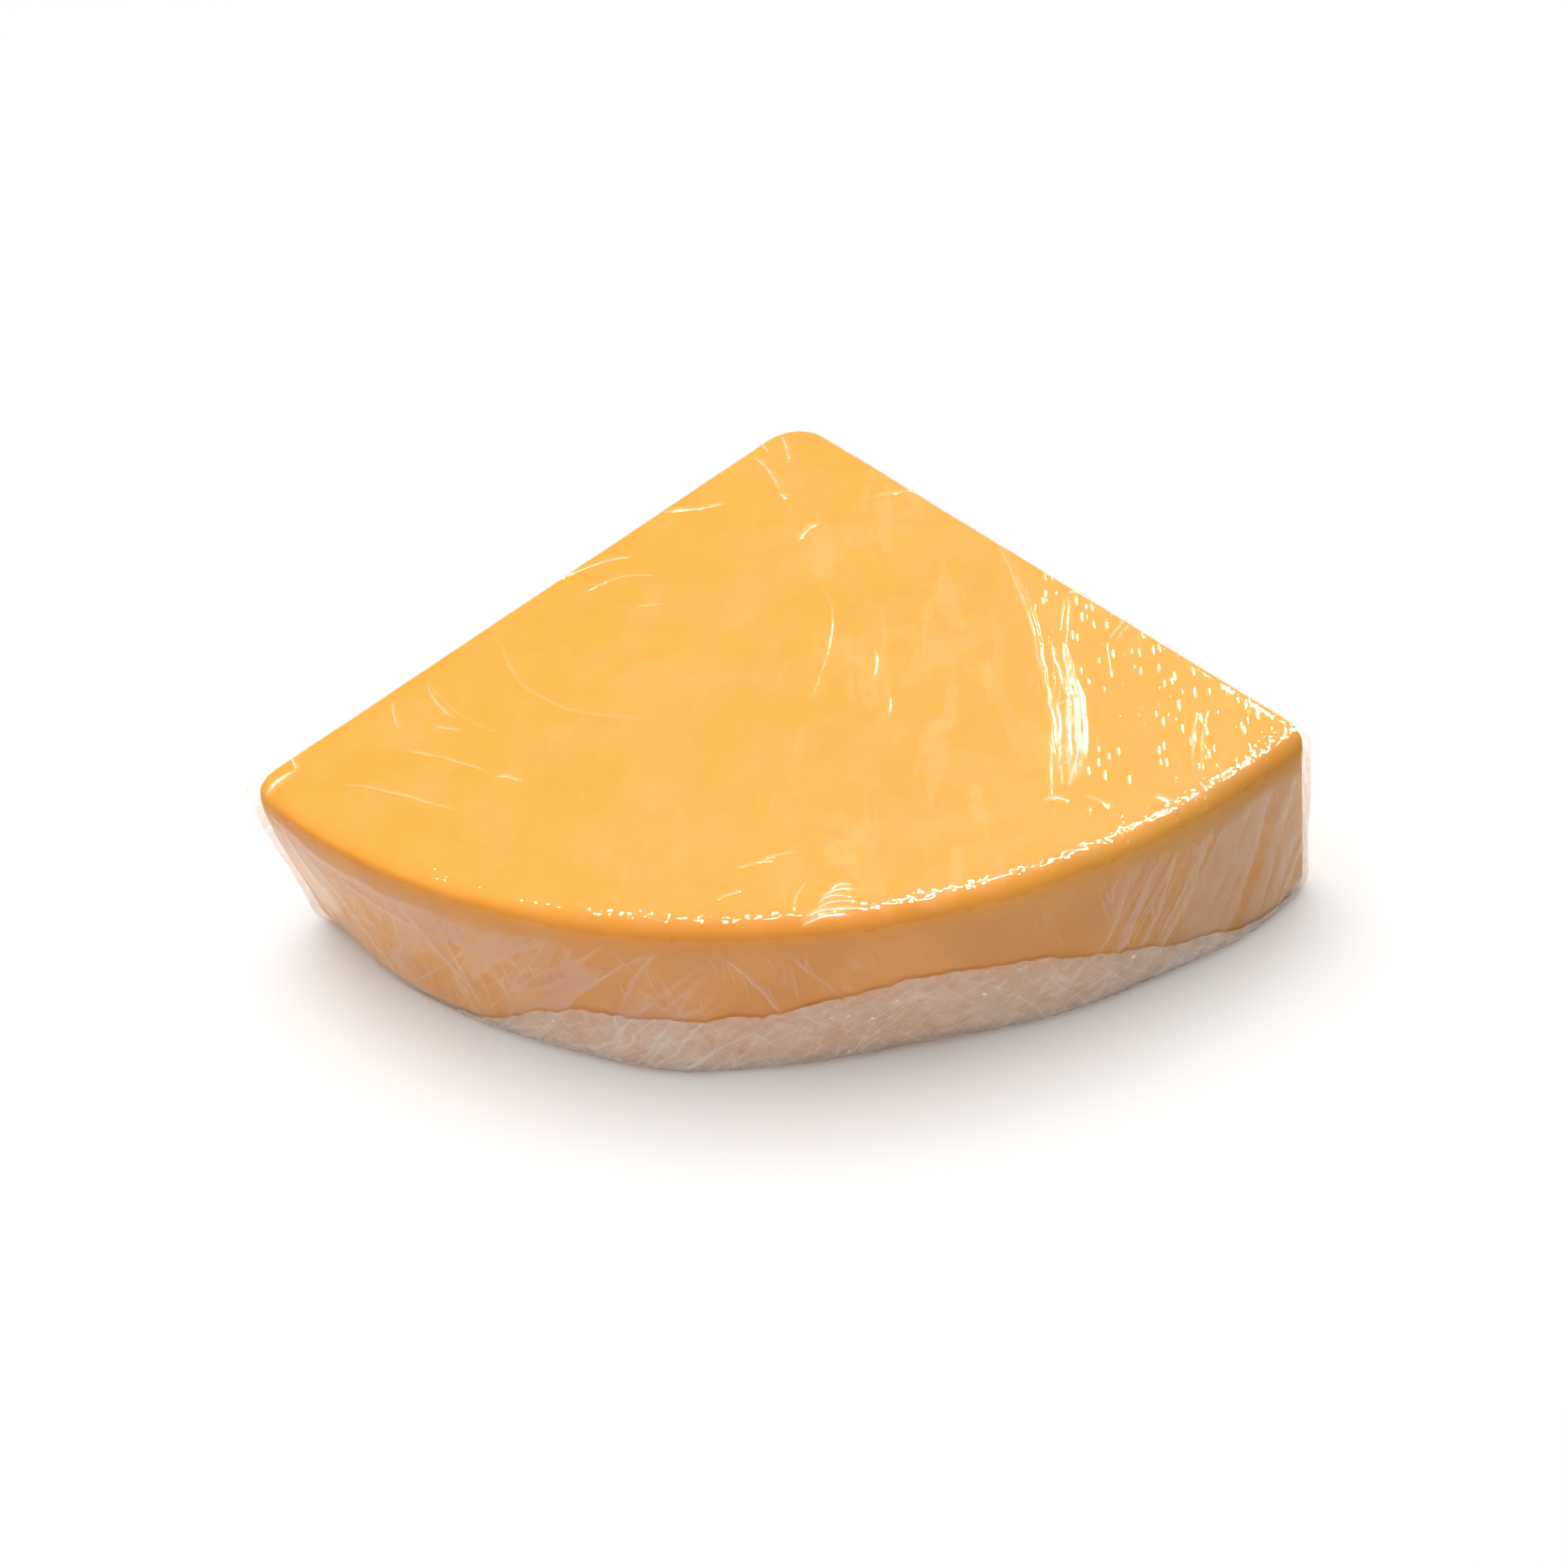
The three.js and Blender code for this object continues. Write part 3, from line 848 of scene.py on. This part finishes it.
# %% Node helpers
class Tree:
    """A material's node tree with short ways to add and join nodes."""

    def __init__(self, name):
        self.material = bpy.data.materials.new(name)
        self.material.use_nodes = True
        self.tree = self.material.node_tree
        self.tree.nodes.clear()

    def add(self, kind, settings=None, **inputs):
        node = self.tree.nodes.new(kind)
        for key, value in (settings or {}).items():
            setattr(node, key, value)
        for key, value in inputs.items():
            self.feed(node, key.replace("_", " "), value)
        return node

    def feed(self, node, key, value):
        socket = node.inputs[int(key[1:])] if key[0] == "i" and key[1:].isdigit() else node.inputs[key]
        if isinstance(value, bpy.types.NodeSocket):
            self.tree.links.new(value, socket)
        else:
            socket.default_value = value

    def math(self, operation, a, b=0.0, clamp=False):
        node = self.add("ShaderNodeMath", {"operation": operation, "use_clamp": clamp}, i0=a, i1=b)
        return node.outputs[0]

    def span(self, value, low, high, to_low=0.0, to_high=1.0):
        node = self.add(
            "ShaderNodeMapRange",
            {"interpolation_type": "SMOOTHSTEP"},
            Value=value,
            From_Min=low,
            From_Max=high,
            To_Min=to_low,
            To_Max=to_high,
        )
        return node.outputs["Result"]

    def blend(self, share, a, b, mode="MIX"):
        node = self.add("ShaderNodeMix", {"data_type": "RGBA", "blend_type": mode})
        self.feed(node, "i0", share)
        self.feed(node, "i6", a)
        self.feed(node, "i7", b)
        return node.outputs[2]

    def object_place(self, scale=(1, 1, 1), turn=(0, 0, 0)):
        coordinates = self.add("ShaderNodeTexCoord")
        mapping = self.add("ShaderNodeMapping", None, Vector=coordinates.outputs["Object"])
        mapping.inputs["Scale"].default_value = scale
        mapping.inputs["Rotation"].default_value = turn
        return mapping.outputs["Vector"]

    def noise(self, place, scale, detail=3.0, roughness=0.5, distortion=0.0):
        node = self.add(
            "ShaderNodeTexNoise",
            None,
            Vector=place,
            Scale=scale,
            Detail=detail,
            Roughness=roughness,
            Distortion=distortion,
        )
        return node.outputs["Fac"]

    def mask(self, name):
        return self.add("ShaderNodeAttribute", {"attribute_name": name}).outputs["Fac"]

    def total(self, *terms):
        """Sum of products: each term is a pair of sockets or numbers."""
        value = 0.0
        for a, b in terms:
            node = self.add("ShaderNodeMath", {"operation": "MULTIPLY_ADD"}, i0=a, i1=b, i2=value)
            value = node.outputs[0]
        return value

    def turned(self, vector, degrees, stretch):
        """Turns coordinates and draws them out, so that a pattern runs long in that direction."""
        node = self.add("ShaderNodeMapping", {"vector_type": "TEXTURE"}, Vector=vector)
        node.inputs["Rotation"].default_value = (0, 0, math.radians(degrees))
        node.inputs["Scale"].default_value = (1, stretch, 1)
        return node.outputs["Vector"]

    def lines(self, vector, scale, width, distortion=0.3):
        """Thin lines where a noise crosses its middle value."""
        cloud = self.noise(vector, scale, 0.6, 0.5, distortion)
        away = self.math("ABSOLUTE", self.math("SUBTRACT", cloud, 0.5))
        return self.span(away, 0.0, width, 1.0, 0.0)

    def cells(self, vector, scale, feature="F1"):
        """Irregular cells: a distance and a random colour for each."""
        return self.add("ShaderNodeTexVoronoi", {"feature": feature}, Vector=vector, Scale=scale).outputs

    def tilt(self, colour, amount):
        """A lean of the surface, one for each cell."""
        middle = (0.5, 0.5, 0.5)
        subtract = self.add("ShaderNodeVectorMath", {"operation": "SUBTRACT"}, i0=colour, i1=middle)
        centred = subtract.outputs[0]
        scaled = self.add("ShaderNodeVectorMath", {"operation": "SCALE"}, i0=centred, Scale=amount)
        return scaled.outputs[0]

    def finish(self, shader):
        output = self.add("ShaderNodeOutputMaterial")
        self.tree.links.new(shader, output.inputs["Surface"])
        return self.material


# %% [markdown]
# The cheese is orange-yellow, deeper at the rim: partly the rind's own colour and partly painted shade
# of the shoulder and side, with more painted shade on the right part of the rind side. Long, faint
# streaks and soft patches break the colour, and a few specks of rind dust stick to it. Light goes a few
# millimetres into it, so it gets some subsurface scattering.


# %% Cheese material
def cheese_paste():
    t = Tree("cheese_paste")
    place = t.object_place()
    long_place = t.object_place(scale=(1, 3.6, 3.6), turn=(0, 0, math.radians(-14)))
    patches = t.noise(place, 30, 4, 0.55, 0.6)
    streaks = t.noise(long_place, 38, 5, 0.62, 1.2)
    brushed = t.noise(t.object_place(scale=(4, 1, 1), turn=(0, 0, math.radians(8))), 120, 4, 0.6, 0.4)
    grain = t.noise(place, 900, 3, 0.6)
    colour = t.blend(t.span(patches, 0.38, 0.62), (0.90, 0.392, 0.038, 1), (0.92, 0.412, 0.046, 1))
    colour = t.blend(t.span(streaks, 0.50, 0.68, 0, 0.45), colour, (0.90, 0.370, 0.034, 1))
    colour = t.blend(t.span(brushed, 0.54, 0.72, 0, 0.35), colour, (0.94, 0.450, 0.070, 1))
    colour = t.blend(t.span(grain, 0.55, 0.75, 0, 0.25), colour, (0.93, 0.43, 0.06, 1))
    blotches = t.noise(place, 55, 3, 0.5, 0.3)
    # Rind colour: partly the rind's own deeper orange, partly painted shade of the shoulder and side.
    rind_and_shade = t.blend(t.span(blotches, 0.35, 0.65), (0.82, 0.312, 0.036, 1), (0.88, 0.355, 0.046, 1))
    # Painted shade: darker still on the right part of the rind side.
    rind_and_shade = t.blend(t.mask("painted_shade_right"), rind_and_shade, t.blend(1.0, rind_and_shade, (0.76, 0.84, 0.80, 1), "MULTIPLY"))
    colour = t.blend(t.mask("rind_and_shade"), colour, rind_and_shade)
    spots = t.cells(place, 40)
    speck = t.span(spots["Distance"], 0.018, 0.034, 1, 0)
    rare = t.span(spots["Color"], 0.74, 0.76)
    colour = t.blend(t.math("MULTIPLY", speck, rare), colour, (0.16, 0.07, 0.02, 1))
    smudges = t.cells(place, 14)
    smudge = t.span(smudges["Distance"], 0.0, 0.06, 0.6, 0)
    smudge = t.math("MULTIPLY", smudge, t.span(smudges["Color"], 0.6, 0.62))
    colour = t.blend(smudge, colour, (0.80, 0.24, 0.02, 1))
    height = t.total((grain, 0.03), (patches, 0.2), (brushed, 0.05))
    bump = t.add("ShaderNodeBump", None, Height=height, Distance=0.001, Strength=0.6)
    shader = t.add(
        "ShaderNodeBsdfPrincipled",
        None,
        Base_Color=colour,
        Roughness=t.span(grain, 0.3, 0.7, 0.46, 0.62),
        Normal=bump.outputs["Normal"],
    )
    shader.inputs["Specular IOR Level"].default_value = 0.2
    shader.inputs["Subsurface Weight"].default_value = 0.2
    shader.inputs["Subsurface Radius"].default_value = (1.0, 0.5, 0.15)
    shader.inputs["Subsurface Scale"].default_value = 0.003
    return t.finish(shader.outputs["BSDF"])


cheese_mesh.materials.append(cheese_paste())


# %% [markdown]
# Clear film has no colour of its own. Its warm tint here is painted light: the orange of the cheese
# glowing through it, yellower where it faces up. A share of it mirrors, more at a glancing angle, a
# share is a milky veil where it is folded or lies double, and the rest lets the light straight
# through. The listed folds give the long ridges. Finer creases are drawn here: lines pulled up the
# sides, large flat overlaps where the film is slack, small crushed facets, a few white spots in the
# loose end that are painted glints, and blisters of air where it lies loose on the top, whose cores
# are partly milky haze and partly painted glints. Creases on the sides stay thinly milky.


# %% Film material
FILM_MIRROR = 0.052
DASH_LEAN = 2
MILKIEST_SIDE_CREASE = 0.20


def fold_lines(t):
    """Height and milkiness of the listed folds, with wider bands on the upright sides."""
    band = t.total((t.mask("upright"), 0.20), (1.0, 0.3))
    heights, milks = [], []
    for letter in FOLD_SETS:
        carried = t.add("ShaderNodeAttribute", {"attribute_name": "fold_" + letter}).outputs["Vector"]
        part = t.add("ShaderNodeSeparateXYZ", None, i0=carried).outputs
        off = t.math("SUBTRACT", part["X"], 0.5)
        line = t.span(t.math("ABSOLUTE", off), 0.0, 1.1 / FOLD_SPAN, 1.0, 0.0)
        doubled = t.span(off, 0.0, 4.0 / FOLD_SPAN, 1.0, 0.0)
        doubled = t.math("MULTIPLY", doubled, t.math("GREATER_THAN", off, 0.0))
        heights.append((line, part["Y"]))
        milks.append((t.total((line, 1.1), (doubled, band)), part["Z"]))
    return t.total(*heights), t.total(*milks)


def shards(t, sheet, degrees, stretch, scale, gaps):
    """Long flat overlaps with straight, lighter edges."""
    place = t.turned(sheet, degrees, stretch)
    tone = t.add("ShaderNodeSeparateXYZ", None, i0=t.cells(place, scale)["Color"]).outputs
    doubled = t.math("GREATER_THAN", tone["X"], gaps)
    doubled = t.math("MULTIPLY", doubled, t.span(tone["Y"], 0.0, 1.0, 0.5, 1.0))
    rim = t.span(t.cells(place, scale, "DISTANCE_TO_EDGE")["Distance"], 0.0, 0.05, 1.0, 0.62)
    return t.math("MULTIPLY", doubled, rim)


def clear_film():
    t = Tree("clear_film")
    place = t.object_place()
    sheet = t.add("ShaderNodeAttribute", {"attribute_name": "unrolled"}).outputs["Vector"]
    fine = t.noise(place, 330, 4, 0.55, 0.6)
    cloudy = t.noise(place, 120, 2, 0.5)
    broken = t.span(cloudy, 0.35, 0.62, 0.4, 1.4)
    fold_height, fold_milk = fold_lines(t)
    fold_height = t.math("MULTIPLY", fold_height, broken)
    fold_milk = t.math("MULTIPLY", fold_milk, t.span(fine, 0.3, 0.65, 0.55, 1.25))

    threads = t.lines(t.turned(sheet, 5, 10), 300, 0.035)
    threads = t.math("MULTIPLY", threads, t.mask("upright"))
    threads = t.math("MULTIPLY", threads, t.span(cloudy, 0.40, 0.62))
    drawn = t.turned(sheet, -26, 60)
    strip = t.span(t.noise(drawn, 230, 1.5, 0.55), 0.49, 0.52)
    pleat = t.total((strip, 0.55), (t.lines(drawn, 420, 0.05, 0.0), 0.7))
    pleated = t.math("MULTIPLY", t.mask("pleats"), t.span(cloudy, 0.30, 0.55, 0.35, 1.0))
    pleat = t.math("MULTIPLY", pleat, pleated)
    slack = t.mask("slack")
    gaps = t.total((t.mask("draped"), -0.45), (1.0, 0.72))
    flap = t.total((shards(t, sheet, -32, 3.4, 90, gaps), 1.0), (shards(t, sheet, 6, 4.0, 120, gaps), 0.8))
    stray = t.math("MULTIPLY", t.lines(t.turned(sheet, -40, 6), 130, 0.03), slack)

    crushed = t.mask("crushed")
    shard = t.cells(t.turned(sheet, -48, 3.0), 240)
    shard_tone = t.add("ShaderNodeSeparateXYZ", None, i0=shard["Color"]).outputs["X"]
    cross = t.cells(t.turned(sheet, 24, 2.2), 130)
    cross_tone = t.add("ShaderNodeSeparateXYZ", None, i0=cross["Color"]).outputs["X"]
    cross_line = t.lines(t.turned(sheet, 38, 6), 210, 0.03)
    fan_line = t.lines(t.turned(sheet, -60, 9), 300, 0.045, 0.5)
    hair_line = t.lines(t.turned(sheet, -28, 7), 340, 0.035, 0.4)
    crush_milk = t.total(
        (shard_tone, 0.05),
        (cross_tone, 0.10),
        (cross_line, 0.10),
        (fan_line, 0.12),
        (hair_line, 0.10),
    )

    # Painted glints: rare small white spots in the crushed loose end, where the film would sparkle.
    painted_glint_cells = t.cells(place, 190)
    chance = t.add("ShaderNodeSeparateXYZ", None, i0=painted_glint_cells["Color"]).outputs["Y"]
    rare = t.math("GREATER_THAN", chance, 0.62)
    painted_glint_spot = t.math("MULTIPLY", t.span(painted_glint_cells["Distance"], 0.06, 0.10, 1.0, 0.0), rare)
    painted_glint_spot = t.math("MULTIPLY", painted_glint_spot, t.span(crushed, 0.4, 0.7))

    bubbly = t.mask("bubbly")
    blisters = t.cells(t.turned(place, DASH_LEAN, 4.5), 820)
    kept = t.span(t.add("ShaderNodeSeparateXYZ", None, i0=blisters["Color"]).outputs["X"], 0.30, 0.32)
    blister = t.math("MULTIPLY", t.span(blisters["Distance"], 0.0, 0.40, 1.0, 0.0), kept)
    # The blister's milky core is partly air haze under the film and partly a painted glint, a white dash
    # where a lamp would mirror.
    blister_haze_and_glint = t.math("MULTIPLY", t.span(blisters["Distance"], 0.16, 0.30, 1.0, 0.0), kept)

    strokes = t.noise(t.turned(place, 3, 3.5), 150, 3, 0.55, 0.4)
    patches = t.noise(place, 60, 3, 0.55, 0.8)
    haze = t.total((t.span(strokes, 0.55, 0.61), 1.0), (t.span(patches, 0.55, 0.58), 0.6))

    creased = t.total(
        (fold_milk, 1.6),
        (threads, 0.14),
        (pleat, 0.26),
        (t.math("MULTIPLY", flap, slack), 0.15),
        (stray, 0.22),
    )
    creased = t.math("MINIMUM", creased, t.total((t.mask("warm"), 0.8), (1.0, MILKIEST_SIDE_CREASE)))
    milk = t.total(
        (t.mask("veil"), t.span(fine, 0.3, 0.7, 0.85, 1.15)),
        (creased, 1.0),
        (crush_milk, crushed),
        (painted_glint_spot, 0.9),
        (t.math("MULTIPLY", blister_haze_and_glint, bubbly), 0.75),
        (t.math("MULTIPLY", haze, t.mask("haze")), 0.06),
    )
    milk = t.math("MULTIPLY", milk, 1.0, clamp=True)

    height = t.total(
        (fold_height, 1.0),
        (fine, t.span(t.mask("loose"), 0.0, 1.0, 0.008, 0.09)),
        (t.math("MULTIPLY", blister, bubbly), 0.15),
        (t.noise(place, 480, 1.0, 0.5), t.math("MULTIPLY", t.mask("rim_edge"), 0.50)),
        (threads, 0.03),
        (pleat, 0.02),
    )
    bump = t.add("ShaderNodeBump", None, Height=height, Distance=0.001, Strength=1.0)
    lean = t.add(
        "ShaderNodeVectorMath",
        {"operation": "ADD"},
        i0=bump.outputs["Normal"],
        i1=t.tilt(shard["Color"], t.math("MULTIPLY", crushed, 0.16)),
    )
    facing = t.add("ShaderNodeVectorMath", {"operation": "NORMALIZE"}, i0=lean.outputs[0]).outputs[0]

    glancing = t.add("ShaderNodeLayerWeight", None, Blend=0.5).outputs["Facing"]
    mirror = t.total((t.math("POWER", glancing, 5.0), 0.85), (1.0, FILM_MIRROR))
    clear_share = t.math("MULTIPLY", t.math("SUBTRACT", 1.0, milk), mirror)
    seen = t.math("ADD", milk, clear_share, clamp=True)
    metal = t.math("DIVIDE", clear_share, t.math("MAXIMUM", seen, 0.001), clamp=True)
    shader = t.add(
        "ShaderNodeBsdfPrincipled",
        None,
        # Painted light: the film's warm tint stands in for the cheese's orange light coming through it,
        # yellower on faces that look up.
        Base_Color=t.blend(t.mask("warm"), (0.96, 0.86, 0.75, 1), (1.0, 0.90, 0.62, 1)),
        Metallic=metal,
        Roughness=0.07,
        Alpha=seen,
        Normal=facing,
    )
    return t.finish(shader.outputs["BSDF"])


film_mesh.materials.append(clear_film())

# %% Hand over to the frame
for piece, node in ((cheese, "cheese"), (film, "film")):
    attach(piece, "root")
    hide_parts(node)
